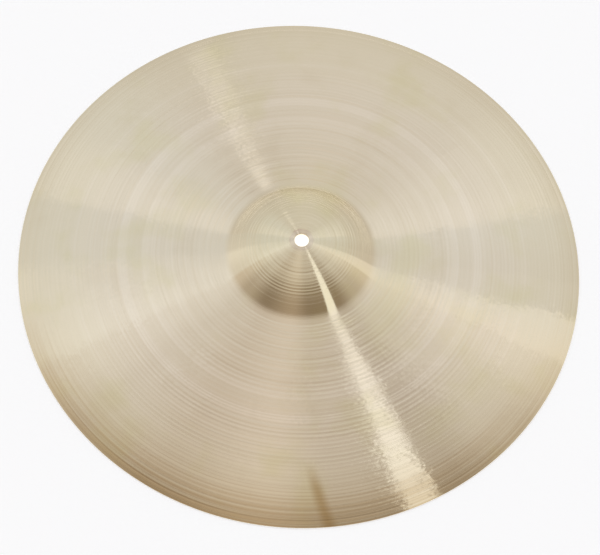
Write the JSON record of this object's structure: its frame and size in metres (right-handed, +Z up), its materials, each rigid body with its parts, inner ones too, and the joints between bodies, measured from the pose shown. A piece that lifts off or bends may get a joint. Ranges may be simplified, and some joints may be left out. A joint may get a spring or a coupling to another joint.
{
  "type": "suspended cymbal",
  "caption": "Thin round bronze cymbal with a domed bell, a gently arched bow that thins to the rim, and a central hole for a stand.",
  "frame": {"origin": "middle of the flat plane that the rim lies on, under the mounting hole", "axes": "+Z up the axis of turning, out of the top of the bell; X and Y lie in the plane of the rim"},
  "size_m": [0.508, 0.508, 0.0456],
  "materials": {
    "turned_bronze": "pale cast bronze with fine turned grooves"
  },
  "bodies": {
    "root": {"cymbal": "turned_bronze"}
  },
  "joints": []
}
